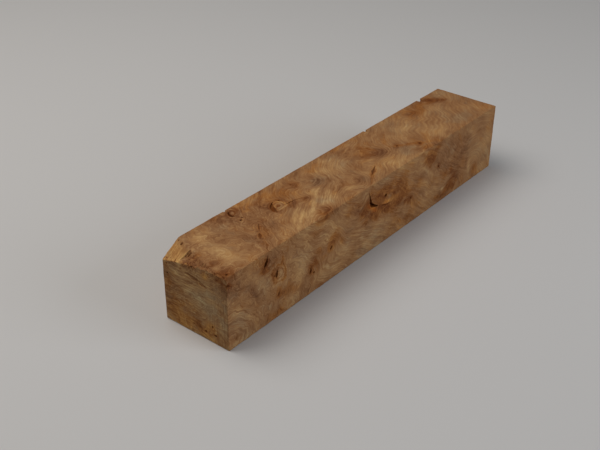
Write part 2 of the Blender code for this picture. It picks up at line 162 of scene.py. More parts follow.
# Stains in the wood and a few patches of painted light and shade, by face: centre, two radii in mm, turn in
# degrees, tone as a power of two of brightness, and warmth from -1, grey, to 1, orange, and on to 4, amber
stainsAndPaintedLight = {
    "top": [
        (-126, 14, 10, 8, 30, 0.2, 0.0), (-132, -3, 6, 12, -8, 0.55, 0.0), (-106, 18.6, 9, 3.8, -55, -0.8, 0.3),
        (-96, 20, 5.6, 5.2, 0, -0.8, 0.4), (-90, 18, 3, 5, 0, -0.4, 0.1), (-85, 21, 8, 4, 0, -0.1, 0.6),
        (-76.5, 9, 4.5, 6, -10, -0.65, -0.1), (-79, 16, 6, 5, 0, -0.15, 0.1), (-66, 17, 11, 6, 0, 0.0, 0.4),
        (-58.5, 8, 7, 6, 0, -0.35, 0.3), (-61, -2, 8, 2.4, -4, -0.75, 0.0), (-98, -3, 12, 8, 45, -0.35, 0.5),
        (-104, -13, 8, 5, 45, -0.25, 0.4), (-88, -10, 6, 4.4, -10, -0.5, -0.3), (-77, -13, 6, 4, 0, 0.25, 0.0),
        (-61, -11, 6, 4, 0, -0.25, 0.1), (-111, -7, 4, 5, 0, -0.25, -0.3), (-90, -22, 16, 4, 0, 0.2, 0.1),
        (-66, -17, 13, 6, 10, 0.72, 0.0), (-142, -12, 4, 5, 20, -0.65, 0.1), (-145, -22.5, 7, 4, 10, -0.4, 0.3),
        (-148, -3, 2.4, 8, 0, -0.3, -0.2), (-122, -21, 12, 3.6, 0, 0.25, 0.1), (-109, -21, 4, 3, 0, -0.25, 0.2),
        (-55, -22.5, 6.5, 4, 8, -0.5, 0.2), (-20, 14, 8, 6, 0, 0.6, 0.1), (-6, -21.8, 6, 0.7, 38, -0.5, 0.4),
        (100, 7, 12, 3, 10, 0.2, 0.0), (40, 2, 6, 5, 0, -0.5, 0.2), (100, -13, 14, 6, 0, 0.2, 0.0),
        (80, 10, 9, 5, 0, 0.25, 0.0), (138, 1, 10, 8, 0, -0.28, 0.0), (53, -11, 13, 1.6, -35, -0.2, 0.9),
        (-60, 16, 8, 4, 0, 0.2, 0.1), (-50.6, -4, 3, 2.8, 0, -1.1, 0.1), (-46, -15, 9, 7, 10, 0.45, 0.0),
        (-42, -2, 6, 5, 0, 0.75, 0.0), (-44, 13.5, 5.4, 4, 20, -0.6, 0.3), (-28, 5.6, 8, 5.6, 0, -0.45, -0.7),
        (-31, 8, 1.2, 1.0, 0, 0.5, -0.3), (-27.6, 8.4, 1.0, 1.2, 0, 0.5, -0.3), (-18, 18, 13, 2.4, 36, -0.2, 0.5),
        (-13, 9, 9, 6, 45, 0.25, 0.0), (-4, 7, 6, 4, 30, 0.3, 0.1), (9, 18, 7, 5, 0, -0.25, -0.4),
        (11, 6, 5, 6, 0, -0.3, -0.2), (22, 6, 8, 5, -30, -0.1, 0.4), (29, -3, 9, 6, -20, -0.85, 0.2),
        (45, 12, 12, 8, 0, -0.08, 0.3), (46, -5.5, 6, 3, 20, -0.5, 0.3), (-11, -15.5, 6.5, 5, 40, -0.7, -0.3),
        (-0.5, -19, 8, 2, 42, -0.35, 0.6), (26, -17, 10, 7, 0, 0.5, 0.0), (45, -15, 6, 8, 0, -0.15, -0.4),
        (3, -6, 11, 6, 30, -0.25, 0.4), (-21, -14, 8, 6, 40, 0.2, 0.3), (60, -10, 6, 3, 0, -0.15, 0.3),
        (60.6, -16, 3, 2.4, 40, -0.25, 0.3), (65, -19, 5, 2.4, 20, 0.35, 0.0), (58, -23, 7, 3, 0, -0.4, 0.5),
        (66, 4, 15, 7, 15, 0.42, 0.0), (97, 16, 5.4, 4, 10, -0.5, 0.2), (106, 13, 13, 4, 15, -0.35, 0.4),
        (110, 21, 17, 4, 0, -0.22, 0.5), (127, 18, 7, 5, -35, -1.15, 0.5), (132, 14, 5, 3, -20, -0.6, 0.8),
        (141, 20, 8, 5, 0, 0.1, -0.3), (113, 10, 11, 3, 10, 0.25, 0.0), (85, -15, 11, 8, 30, 0.42, 0.0),
        (116, -16, 15, 6, 0, 0.15, -0.8), (140, -21, 7, 4, 0, 0.0, 0.2), (139.5, -5.5, 1.6, 1.4, 0, -0.3, -1.0),
        # The middle patch here, at (-143.2, 9.4), is painted shade in the torn hollow's pit
        (146, -6, 4, 14, 0, -0.2, 0.0), (-143.2, 9.4, 1.4, 1.2, 0, -0.3, 0.0), (-133, 20, 7, 6, 0, 0.3, 0.0),
        # The patch at (-145, 11.0) is painted light on the shaded wall of the torn step; the one at (-141.6, 7.6)
        # is a painted highlight
        (-145, 11.0, 5.5, 1.8, -17, 0.7, 0.1), (-141.6, 7.6, 1.8, 1.6, 0, 0.6, -0.8),
        (-141, 2, 3, 5, 20, -0.25, 0.3), (-88.7, 15.3, 2.6, 2.0, 0, 0.35, 0.6)],
    "side": [
        (-147, 46, 4, 4, 0, -0.35, -0.1), (-145, 51, 7, 2.4, 0, -0.4, 0.3), (-144, 40, 8, 6, 0, -0.3, -0.4),
        (-127.5, 29, 11, 2.2, -62, -0.35, -0.4), (-122, 33, 10, 3, -62, 0.15, 0.0),
        (-139, 15, 12, 9, 0, 0.24, -0.5), (-80, 35, 7, 5, 0, 0.22, 0.0), (19, 34.5, 7, 3.6, -15, -0.3, 0.2),
        (-40, 49, 7, 3, 0, -0.25, 0.1), (58, 26, 8, 5, 0, 0.2, 0.0), (8, 29, 25, 8, -16, -0.22, 0.2),
        (2, 27.5, 8, 4.4, -10, -0.32, 0.1), (-60, 34, 8, 6, 0, 0.45, 0.0), (1, 36, 6, 3.4, -20, -0.55, 0.2),
        (-20, 49.5, 7, 3, 0, 0.35, 0.0), (-80, 49, 8, 3, 0, 0.25, 0.0), (-141, 34, 8, 6, 0, -0.15, -0.3),
        (46, 29, 9, 7, 0, -0.12, 0.1), (20, 13, 7, 5, 0, -0.2, 0.1), (-99, 31, 1.6, 3.4, 0, -0.2, 0.5),
        (120, 30, 12, 9, 0, -0.2, 0.0), (-120, 20, 5, 8, 0, 0.1, 0.0), (140, 6, 9, 5, 0, 0.35, 0.1),
        (-100, 12, 8, 5, 0, 0.2, 0.0), (20, 20, 9, 5, 0, -0.2, 0.0), (-68.8, 21, 3.4, 1.4, -45, -0.4, 0.6),
        (-116.5, 43.5, 5, 6.4, 0, -0.35, 0.1), (-115.8, 38.8, 3.8, 1.7, -10, -0.55, 0.4),
        (-110, 44.5, 4, 5, 0, -0.25, -0.6), (-119.1, 39.9, 3.2, 0.8, -65, -0.5, 0.4),
        (-103, 39.5, 8, 4, -30, -0.2, 0.4), (-110.5, 32.5, 2.4, 4, 0, -0.5, 0.2),
        (-107.5, 19, 6, 4, 0, -0.12, 0.5), (-105.2, 16.6, 2.2, 1.8, 0, -0.3, 0.4),
        (-97, 14.5, 6, 3.6, 0, -0.4, 0.1), (-106, 3.6, 7, 2.4, 0, -0.45, 0.7),
        (-84, 24, 6, 8, 0, 0.35, -0.1), (-92, 43.5, 6, 5, 0, -0.25, -0.3), (-74, 18.5, 4.6, 7, 0, -0.35, 0.2),
        (-67, 27.5, 7, 5, 0, -0.38, 0.1), (-64.5, 20.5, 6, 6, 0, -0.2, 0.2), (-54, 26.5, 4, 5.5, 0, -0.42, 0.6),
        (-68, 49.5, 8, 2, 0, -0.4, 0.3), (-54, 50.5, 7, 2.6, 0, -0.7, 0.3), (-146, 6, 9, 3, 0, -0.35, 0.3),
        (-123, 47, 6, 5, 0, -0.05, 0.3), (-61, 11, 12, 6, 0, 0.42, 0.0), (-48, 29.5, 4.2, 4.2, 0, -0.35, 0.1),
        (-37, 19, 12, 8, 0, 0.1, 0.0), (-26, 41, 12, 6, 0, -0.45, 0.1), (-18.0, 35.5, 5, 5, -35, -0.5, 0.3),
        (-10, 26.3, 9, 3, -18, -0.6, 0.3), (-6, 44.2, 9, 4.4, -25, -0.25, 0.5), (6, 40.5, 9, 4, -10, -0.4, 0.6),
        (4.5, 36.5, 2.2, 1.6, -10, -0.5, 0.6), (12.5, 37.2, 3.4, 1.0, -20, 0.5, 1.0),
        (8.2, 31.1, 6.0, 1.5, -11, 0.65, 2.4), (17.8, 31.0, 4.5, 1.2, -16, 0.3, 2.0),
        (16, 28.6, 8, 2, -20, 0.0, 0.8), (-9.5, 33.3, 6.0, 1.4, -36, 0.65, 3.8),
        (-0.3, 31.0, 3.0, 1.6, -30, -0.5, 0.5),
        (-116.2, 44.2, 1.5, 4.2, 0, -0.6, 0.3), (-107, 31.6, 2.0, 4.2, 0, -0.35, 0.4),
        (-74.6, 18, 2.4, 4.4, 0, -0.15, 0.4), (28, 28.5, 8, 4, -20, -0.4, 0.7), (13, 25.4, 9, 3, -10, -0.35, 0.4),
        (18, 40, 8, 5, 0, -0.2, 0.2), (28, 39.5, 8, 5, 0, -0.3, 0.1), (37, 20.5, 5, 4, 0, -0.35, 0.3),
        (41, 14, 9, 6, 0, 0.0, 0.6), (33, 7, 9, 3, 0, -0.3, 0.4), (0, 14, 14, 8, 0, 0.35, 0.0),
        (-30, 4.5, 8, 3, 0, -0.1, 0.3), (-17, 6, 8, 5, 0, 0.2, -0.1), (59.5, 41.5, 6.4, 5, -35, -0.6, 0.7),
        (69, 47.5, 8, 3.4, 25, -0.4, 0.5), (56, 34.5, 9, 1.3, -38, 0.35, 0.0),
        (71.5, 31.8, 2.6, 2.2, 0, -0.4, 0.4), (90, 42.5, 17, 7, -10, -0.3, -0.5),
        (98, 41.5, 4, 5, 0, -0.25, 0.0), (78, 28.5, 8, 6, 0, -0.3, 0.0),
        (83, 20.5, 6, 4, 0, -0.2, 0.6), (98, 27, 9, 13, 8, -0.45, 0.1), (94, 12.5, 6, 6, 0, -0.55, 0.5),
        (90, 6, 10, 2.6, -6, -0.45, 0.8), (112, 19.5, 3, 8, 0, -0.3, -0.5), (79.5, 9.6, 1.7, 1.5, 0, 0.7, 0.2),
        (116.4, 12.5, 2.4, 8, 8, 0.35, 0.0), (125, 8.5, 5, 6, 0, -0.3, 0.7), (126, 24, 9, 9, 0, 0.35, 0.0),
        (140, 29, 9, 13, 0, 0.08, 0.2), (140, 49.5, 8, 3, 0, 0.1, 0.1), (60, 12.5, 9, 5, 0, 0.3, 0.0),
        (75, 5, 11, 3, -12, -0.35, 0.4), (-149, 47.2, 2.6, 0.7, -25, -0.7, 0.4),
        (-147.4, 44.4, 2.6, 0.6, -25, -0.5, 0.4)],
    "near": [
        (-9, 46.2, 2, 2.2, 0, 0.3, 1.2), (-1, 39.8, 11, 2.6, 13, 0.05, 0.3), (21.5, 34.6, 2.2, 3.2, 0, -0.5, 0.4),
        (14, 38, 9, 4, 0, -0.15, 0.2), (0, 30.5, 10, 7, 0, 0.2, -0.4), (-13, 25.5, 6.5, 9, 0, 0.1, -0.55),
        (-22.5, 14, 4, 11, 0, 0.1, -0.45), (21, 17, 5.4, 10, 0, -0.45, 0.2), (16, 8, 10, 5.4, 0, 0.05, 0.7),
        (3.5, 9.6, 6, 6, 0, -0.1, 0.4), (-2.3, 9.4, 2.2, 4.6, 0, -0.75, 0.3), (-11.6, 8.2, 6.6, 6, 0, 0.3, 1.1),
        (0, 2.4, 24, 3, 0, 0.25, 0.7), (7, 22.5, 6, 4, 0, 0.1, 0.4), (-23, 44.5, 3.4, 4, 0, -0.1, 0.1),
        (3, 50.5, 7, 2, 0, -0.5, 0.1), (-20.5, 35.5, 6, 6, 0, 0.12, -0.3)],
    "back": [
        (-70, 25, 8, 8, 0, -0.5, -0.3), (41, 29, 16, 7, -40, -0.7, 0.5), (12, 21.5, 7, 5, 30, -0.6, 0.4),
        (97, 14.5, 7, 6, 40, -0.6, 0.5), (-118, 17, 6, 5, 0, -0.5, 0.2), (-28, 38.5, 6, 5, 0, -0.5, 0.4),
        (-8, 12, 9, 7, 20, -0.3, -0.6), (128, 38, 8, 7, -30, -0.7, 0.4), (-50, 12, 16, 8, 0, 0.4, 0.0),
        (70, 32, 16, 9, 0, 0.35, -0.1), (-100, 38, 14, 8, 0, 0.3, 0.0), (-135, 30, 9, 14, 0, 0.0, -0.5),
        (122, 14, 12, 9, 0, 0.35, 0.0), (18, 42, 16, 5, 0, -0.2, 0.6)],
    "bottom": [
        (56, 11, 9, 6, 25, -0.6, 0.4), (-84, -8.6, 8, 7, 0, -0.5, 0.3), (-30, 8, 10, 7, -20, -0.2, -0.5),
        (105, -12, 8, 6, 0, -0.5, 0.4), (0, -8, 20, 8, 0, 0.35, 0.0), (-120, 6, 14, 9, 0, 0.3, -0.2),
        (86, 8, 12, 7, 0, 0.3, 0.1)],
    "far": [
        (-4, 30, 9, 6, 10, -0.5, 0.3), (10.6, 14, 7, 6, 0, -0.5, 0.4), (8, 40, 9, 7, 0, 0.2, -0.5),
        (-15, 12, 7, 8, 0, 0.2, 0.2)],
}

# Rings of the open eyes, by face: centre, two radii, turn, then (radius share, width share, tone, warmth)
eyeRings = {
    "top": [
        (-70.2, 3.7, 5.6, 4.7, 20, [
            (0.0, 0.3, -1.0, 0.5), (0.46, 0.18, 0.5, -0.1), (0.66, 0.12, -0.4, 0.3), (0.88, 0.17, 0.75, 0.2),
            (1.1, 0.15, -0.2, 0.3), (1.4, 0.3, -0.3, 0.2)]),
        (-95.6, 20.0, 3.4, 1.9, 42, [
            (0.0, 0.48, 0.95, -0.5), (0.85, 0.2, -0.7, 0.4), (1.1, 0.22, -0.3, 0.4), (1.5, 0.2, 0.2, 0.0),
            (1.9, 0.3, -0.4, 0.2)])],
    "side": [
        (-104.4, 31.4, 3.5, 3.6, 0, [
            (0.0, 0.4, 0.3, 0.1), (1.0, 0.2, -0.6, 0.5), (1.4, 0.18, 0.2, 0.4), (1.8, 0.25, -0.4, 0.7),
            (2.2, 0.25, 0.25, 0.2)])],
    "back": [
        (-70.4, 25.0, 4.4, 5.2, 0, [
            (0.0, 0.25, -0.5, 0.2), (0.45, 0.15, 0.3, 0.0), (0.85, 0.15, 0.4, 0.1), (1.1, 0.12, -0.5, 0.3)])],
}


# Smooth noise from a hashed lattice: the eight corner values round each point, blended by a smooth step.
def hashNoise(points, seed):
    cell = np.floor(points).astype(np.int64)
    part = points - cell
    part = part * part * part * (part * (part * 6 - 15) + 10)
    total = np.zeros(len(points))
    for dx in (0, 1):
        for dy in (0, 1):
            for dz in (0, 1):
                code = (cell[:, 0] + dx) * 374761393 + (cell[:, 1] + dy) * 668265263
                code += (cell[:, 2] + dz) * 2147483647 + seed * 144665
                code = (code ^ (code >> 13)) * 1274126177 & 0x7FFFFFFF
                code = (code ^ (code >> 16)) & 0xFFFF
                weight = (part[:, 0] if dx else 1 - part[:, 0]) * (part[:, 1] if dy else 1 - part[:, 1])
                total += code / 65535.0 * weight * (part[:, 2] if dz else 1 - part[:, 2])
    return total * 2 - 1


# The same noise over one or two lengths
def flatNoise(seed, first, second=0.0):
    return hashNoise(np.stack([first, second + 0 * first, 0 * first], 1), seed)


# Places in a face's plane as places in space: the fixed axis gets the face's value.
def ontoFace(face, plan):
    first, second, fixed, value = faces[face][:4]
    at = np.empty((len(plan), 3))
    at[:, first], at[:, second], at[:, fixed] = plan[:, 0], plan[:, 1], value
    return at


# How far the plane of the cut corner lies below the top: its depth less its slope along and across.
def cutDrop(x, y):
    return corner["down"] * (1 - (x - nearX) / corner["along"] - (backY - y) / corner["across"])


# How far the top lies below the sawn plane at (x, y): the cut plane's drop, or on the torn side of its
# straight right edge a slope between the broken lines, hollowed as a half sine and roughened by noise.
def topDrop(x, y):
    alongCut = x - nearX
    stations = np.array(corner["tornEdge"])[::-1]
    coarse, fine = corner["ragged"]
    ragged = coarse * flatNoise(15, y * 0.8) + fine * flatNoise(16, y * 2.1)
    back = np.interp(y, stations[:, 0], stations[:, 1]) + ragged
    down = np.interp(y, stations[:, 0], stations[:, 2])
    share = 1 - alongCut / back
    leftTop, leftLow = corner["tornLeft"]
    leftY = leftTop + (leftLow - leftTop) * np.clip(share, -0.5, 1.5)
    inside = np.clip(share, 0, 1)
    size = np.minimum(1, back / corner["fullBreak"])
    rough = corner["ridges"] * flatNoise(3, share * 0.9, y * 0.5)
    rough += corner["crumbs"] * flatNoise(5, alongCut * 1.3, y * 1.5)
    skew, fall = corner["hollowSkew"]
    dip = corner["hollow"] * np.sin(np.pi * inside) * (skew - fall * inside)
    slope = down * share + size * (dip + rough * np.minimum(1, inside * 6 + 0.15))
    torn = np.where(share > -0.02, slope, 0)
    fibres = corner["fibres"] * flatNoise(9, x * 0.25 + y * 0.1, (y * 0.9 - x * 0.35) * 2.2)
    cut = cutDrop(x, y)
    cut = np.where(cut > 0, cut + fibres * np.minimum(1, cut), 0)
    drop = np.where(y < leftY, np.maximum(cut, torn), cut)
    return np.maximum(drop, 0)


# How the voids are cut: sample spacing and least width of a crack, raggedness of cracks and pits, the powers
# of their sections, how far the darkened wood round them reaches, the place and width of the painted highlight
# along their rim, and how wide a pit is whose rim shows in full
voids = {
    "step": 0.32, "leastWidth": 0.25, "crackRagged": 0.34, "pitRagged": (0.16, 0.1),
    "crackPower": 2.4, "pitPower": 0.7, "crackHalo": 0.7, "pitHalo": 0.9, "lip": (0.45, 0.35), "fullPit": 1.5,
}


# A path through stations as a Catmull-Rom curve, sampled every step mm: place, width, and run.
def smoothPath(stations, step):
    points = np.array(stations, float)
    ends = np.vstack([2 * points[0] - points[1], points, 2 * points[-1] - points[-2]])
    pieces = []
    for before, start, stop, after in zip(ends, ends[1:], ends[2:], ends[3:]):
        count = max(2, int(np.hypot(*(stop - start)[:2]) / step) + 1)
        t = np.linspace(0, 1, count, endpoint=False)[:, None]
        bend = (2 * before - 5 * start + 4 * stop - after) * t ** 2
        twist = (3 * start - before - 3 * stop + after) * t ** 3
        pieces.append(0.5 * (2 * start + (stop - before) * t + bend + twist))
    path = np.vstack(pieces + [points[-1:]])
    path[:, 2] = np.maximum(path[:, 2], voids["leastWidth"])
    run = np.gradient(path[:, :2], axis=0)
    run /= np.linalg.norm(run, axis=1)[:, None]
    return path, run


# A crack's half width on each side at each sample, made ragged by noise along it
def crackSides(path, seed):
    steps = np.concatenate([[0], np.cumsum(np.hypot(*np.diff(path[:, :2], axis=0).T))])
    ragged = [1 + voids["crackRagged"] * flatNoise(seed, steps * 1.1, side * 7.3) for side in (0, 1)]
    return path[:, 2, None] / 2 * np.stack(ragged, 1)


# A pit's ragged rim: two sine waves round its oval
def pitRim(around, a, b):
    low, high = voids["pitRagged"]
    return 1 + low * np.sin(around * 2 + a) + high * np.sin(around * 5 + b)


crackShapes = {face: [] for face in faces}
for number, crack in enumerate(cracks.values()):
    crackPath, crackRun = smoothPath(crack["path"], voids["step"])
    sides = crackSides(crackPath, 20 + number)
    crackShapes[crack["face"]].append((crack["depth"], crackPath, crackRun, sides))


# Where points lie across a crack: distance from the nearest sample over the half width there, and that width
def acrossCrack(plan, shape):
    _, path, run, sides = shape
    gap = plan[:, None, :] - path[None, :, :2]
    far = np.hypot(gap[..., 0], gap[..., 1])
    nearest = far.argmin(1)
    rows = np.arange(len(plan))
    sideways = gap[rows, nearest, 1] * run[nearest, 0] - gap[rows, nearest, 0] * run[nearest, 1]
    half = sides[nearest, (sideways > 0).astype(int)]
    return far[rows, nearest] / half, half, path[nearest, 2]


# Points in a pit's own turned axes, as their distance from its centre over its ragged oval
def pitDistance(plan, pit):
    a, b, long, wide, _, turn = pit
    angle = np.radians(turn)
    u = (plan[:, 0] - a) * np.cos(angle) + (plan[:, 1] - b) * np.sin(angle)
    v = -(plan[:, 0] - a) * np.sin(angle) + (plan[:, 1] - b) * np.cos(angle)
    return np.hypot(u / long, v / wide) * 2 / pitRim(np.arctan2(v / wide, u / long), a, b)


# Small natural pinholes, strewn over every face by a seeded draw, with sizes in mm
strewn = {
    "counts": {"top": 7, "side": 6, "back": 24, "bottom": 18, "near": 8, "far": 8}, "inset": 3,
    "width": (0.4, 0.75), "stretch": (1.0, 1.9), "depthShare": 0.7,
}
strew = np.random.default_rng(41)
for face, count in strewn["counts"].items():
    first, second = faces[face][:2]
    for _ in range(count):
        a = strew.uniform(blockLow[first] + strewn["inset"], blockHigh[first] - strewn["inset"])
        b = strew.uniform(blockLow[second] + strewn["inset"], blockHigh[second] - strewn["inset"])
        size = strew.uniform(*strewn["width"])
        long = size * strew.uniform(*strewn["stretch"])
        pits[face].append((a, b, long, size, size * strewn["depthShare"], strew.uniform(0, 180)))


# Depth in mm below a face at plan points, the darkened wood round each void, and a painted highlight along its
# rim.
# A crack's section is 1 - t^crackPower across its half width, a pit's a quarter cosine to the power pitPower.
def voidDepth(face, plan):
    depth, halo, lip = np.zeros((3, len(plan)))
    rimHighlightAt, rimHighlightWidth = voids["lip"]

    def add(close, deep, away, outside, spread, size):
        # The rim band is painted highlight: lighter, warmer wood just outside each void, where its edge would
        # catch light
        rim = np.exp(-((outside - rimHighlightAt) / rimHighlightWidth) ** 2) * (away > 1) * size
        glow = np.exp(-(outside / spread) ** 2) * size
        for values, new in ((depth, deep), (halo, glow), (lip, rim)):
            values[close] = np.maximum(values[close], new)

    for shape in crackShapes[face]:
        deepest, path = shape[:2]
        low, high = path[:, :2].min(0) - 5, path[:, :2].max(0) + 5
        close = np.flatnonzero(((plan > low) & (plan < high)).all(1))
        if len(close):
            away, half, wide = acrossCrack(plan[close], shape)
            section = np.clip(1 - away ** voids["crackPower"], 0, 1)
            deep = deepest * np.sqrt(wide / path[:, 2].max()) * section
            outside = np.maximum(away - 1, 0) * half
            add(close, deep, away, outside, voids["crackHalo"] * deepest ** 0.6, np.minimum(1, wide))
    for pit in pits[face]:
        a, b, long, wide, deepest, _ = pit
        close = np.flatnonzero((np.abs(plan - np.array([a, b])) < long + 3).all(1))
        if len(close):
            away = pitDistance(plan[close], pit)
            deep = deepest * np.cos(np.clip(away, 0, 1) * np.pi / 2) ** voids["pitPower"]
            outside = np.maximum(away - 1, 0) * wide / 2
            size = min(1, wide / voids["fullPit"])
            add(close, np.where(away < 1, deep, 0), away, outside, voids["pitHalo"], size)
    return depth, halo, lip


# Points along an edge: a regular walk, closer together where something is broken out of it
def edgeWalk(low, high, step, close):
    walk = [np.linspace(low, high, int(round((high - low) / step)) + 1)]
    for start, stop, fine in close:
        walk.append(np.arange(start, stop, fine))
    walk = np.unique(np.round(np.concatenate(walk), 4))
    keep = np.concatenate([[True], np.diff(walk) > 0.12])
    keep[-1] = True
    if walk[-1] - walk[:-1][keep[:-1]][-1] < 0.12:
        keep[np.flatnonzero(keep[:-1])[-1]] = False
    return walk[keep]


# How the mesh points are set out, in mm: insets of the rows that carry an edge's rounding, where the plain
# grid starts, spacings at the corner and the eyes, how far the corner's fine grid reaches from the end at
# cornerY, and rings round the voids as shares of their half width or as distances beyond it. Pits shorter
# than pinhole get fewer rings, grid points within clear of a ring go, and points within merge are one.
layout = {
    "edgeRows": (0.16, 0.38, 0.7), "inner": 1.3, "eyeStep": 0.42, "cornerStep": 0.4,
    "cornerY": (sideY, -12, 12, backY), "cornerFine": (2.4, 3.6, 12.5, 15.5), "cornerClear": (2.9, 4.1, 13, 16),
    "crackRings": (-1.02, -0.84, -0.45, 0, 0.45, 0.84, 1.02), "beyond": (0.2, 0.5, 0.85),
    "pitRings": (1.9, 1.5, 1.22, 1.02, 0.84, 0.5), "pinholeRings": (1.3, 1.02, 0.6),
    "pinhole": 1.5, "clear": 0.45, "merge": 0.1,
}
walks = [
    edgeWalk(nearX, farX, 1.0, [(nearX, -134, 0.4)] + [(x - r - 1, x + r + 1, 0.3) for x, r, _, _ in notches]),
    edgeWalk(sideY, backY, 0.5, []),
    edgeWalk(0, height, 0.9, [(height - 11, height, 0.4)]),
]


# A grid of even triangles between two corners, every second row moved by half a step, and a little uneven
def staggered(low, high, step, seed):
    rowStep = step * 0.866
    a, b = np.meshgrid(np.arange(low[0], high[0] + 0.01, step), np.arange(low[1], high[1] + 0.01, rowStep))
    a = a + (np.arange(a.shape[0]) % 2)[:, None] * step / 2
    grid = np.stack([a.ravel(), b.ravel()], 1)
    return grid + np.random.default_rng(seed).uniform(-0.1, 0.1, grid.shape) * step


# Rings of plan points in and round each void of a face: offsets of a crack's path along its normal, and
# ragged ovals round a pit's centre
def voidRings(face):
    rings = []
    for _, path, run, sides in crackShapes[face]:
        normal = np.stack([-run[:, 1], run[:, 0]], 1)
        for t in layout["crackRings"]:
            half = sides[:, 1 if t > 0 else 0]
            rings.append(path[:, :2] + normal * (half * t)[:, None])
        for side in (-1, 1):
            for beyond in layout["beyond"]:
                rings.append(path[:, :2] + normal * side * (sides[:, (side + 1) // 2] + beyond)[:, None])
    for a, b, long, wide, _, degrees in pits[face]:
        small = long < layout["pinhole"]
        count = 9 if small else 16
        turn = np.radians(degrees)
        for t in layout["pinholeRings" if small else "pitRings"]:
            around = np.arange(count) * 2 * np.pi / count + t
            ragged = pitRim(around, a, b)
            u, v = np.cos(around) * long / 2 * t * ragged, np.sin(around) * wide / 2 * t * ragged
            across, along = u * np.cos(turn) - v * np.sin(turn), u * np.sin(turn) + v * np.cos(turn)
            rings.append(np.stack([a + across, b + along], 1))
        rings.append(np.array([(a, b)]))
    return np.vstack(rings)


# Plan points of one face: its edges, rows that carry their rounding, a staggered grid, and rings in each void
def facePlan(face):
    first, second, _, _, _, step = faces[face]
    low = np.array([blockLow[first], blockLow[second]])
    high = np.array([blockHigh[first], blockHigh[second]])
    sets = []
    for inset in (0.0,) + layout["edgeRows"]:
        for axis, walk in ((0, walks[first]), (1, walks[second])):
            inside = walk[(walk >= low[axis] + inset) & (walk <= high[axis] - inset)]
            for level in (low[1 - axis] + inset, high[1 - axis] - inset):
                row = np.empty((len(inside), 2))
                row[:, axis], row[:, 1 - axis] = inside, level
                sets.append(row)
        ends = [(a, b) for a in (low[0] + inset, high[0] - inset) for b in (low[1] + inset, high[1] - inset)]
        sets.append(np.array(ends))
    margin = layout["inner"]
    grid = staggered(low + margin, high - margin, step, 7)
    grid = grid[(grid < high - margin * 0.8).all(1)]
    if face == "top":
        fine = staggered((nearX + 0.9, sideY + 0.9), (nearX + 15, backY - 0.9), layout["cornerStep"], 8)
        reach = fine[:, 0] - nearX < np.interp(fine[:, 1], layout["cornerY"], layout["cornerFine"])
        clear = grid[:, 0] - nearX < np.interp(grid[:, 1], layout["cornerY"], layout["cornerClear"])
        sets.append(fine[reach])
        grid = grid[~clear]
    for a, b, long, wide, _, shares in eyeRings.get(face, []):
        reach = np.array([long, wide]) * (shares[-1][0] + 0.3)
        fine = staggered(np.array([a, b]) - reach, np.array([a, b]) + reach, layout["eyeStep"], 9)
        sets.append(fine[((fine > low + margin) & (fine < high - margin)).all(1)])
        grid = grid[(np.abs(grid - [a, b]) > reach + 0.2).any(1)]
    rings = voidRings(face)
    rings = rings[((rings > low + 0.2) & (rings < high - 0.2)).all(1)]
    crowded = np.zeros(len(grid), bool)
    for start in range(0, len(rings), 400):
        part = rings[start:start + 400]
        box = ((grid > part.min(0) - 1) & (grid < part.max(0) + 1)).all(1)
        at = np.flatnonzero(box & ~crowded)
        gap = np.hypot(*(grid[at][:, None, :] - part[None, :, :]).transpose(2, 0, 1))
        crowded[at[(gap < layout["clear"]).any(1)]] = True
    plan = np.clip(np.vstack(sets + [grid[~crowded], rings]), low, high)
    _, kept = np.unique(np.round(plan / layout["merge"]).astype(int), axis=0, return_index=True)
    chosen = np.zeros(len(plan), bool)
    chosen[kept] = True
    chosen[((plan <= low + 1e-6) | (plan >= high - 1e-6)).any(1)] = True
    _, single = np.unique(np.round(plan[chosen], 4), axis=0, return_index=True)
    return plan[chosen][single]


# Wear of the sawn edges in mm: its mean, its unevenness at two sizes, and its limits
wearPlan = {"mean": 0.40, "uneven": 0.16, "limits": (0.15, 0.85)}


# The column of wood under each top point is squeezed to its own height, so the sides and the near end
# follow the cut corner and the torn edge. Rounding comes first: points near an edge move onto its arc.
def shapedBlock(at):
    uneven = hashNoise(at / 9.0, 11) + hashNoise(at / 2.3, 12)
    wear = np.clip(wearPlan["mean"] + wearPlan["uneven"] * uneven, *wearPlan["limits"])[:, None]
    inner = np.clip(at, blockLow + wear, blockHigh - wear)
    out = at - inner
    reach = np.linalg.norm(out, axis=1)[:, None]
    onEdge = (np.abs(out) > 1e-6).sum(1) > 1
    rounded = np.where(onEdge[:, None], inner + out / np.maximum(reach, 1e-9) * wear, at)
    drop = topDrop(at[:, 0], at[:, 1])
    rounded[:, 2] *= (height - drop) / height
    return rounded, drop


# An oval bite out of the back's top edge: the square corner of each section is bent onto a quarter oval.
def bite(at, x, half, across, down):
    u = (at[:, 0] - x) / half
    size = np.sqrt(np.clip(1 - u * u, 0, 1)) * (1 + 0.2 * np.sin(at[:, 0] * 3.1))
    inY = (backY - at[:, 1]) / across
    inZ = (height - at[:, 2]) / down
    along = np.where(inZ < inY, 1 - inY / np.maximum(size, 1e-6), 1 + inZ / np.maximum(size, 1e-6))
    hit = (size > 0.02) & (along > 0) & (along < 2) & (np.minimum(inY, inZ) < 0.35)
    angle = along * np.pi / 4
    moved = at.copy()
    moved[:, 1] = backY - across * size * np.cos(angle)
    moved[:, 2] = height - down * size * np.sin(angle)
    at[hit] = moved[hit]
    return hit


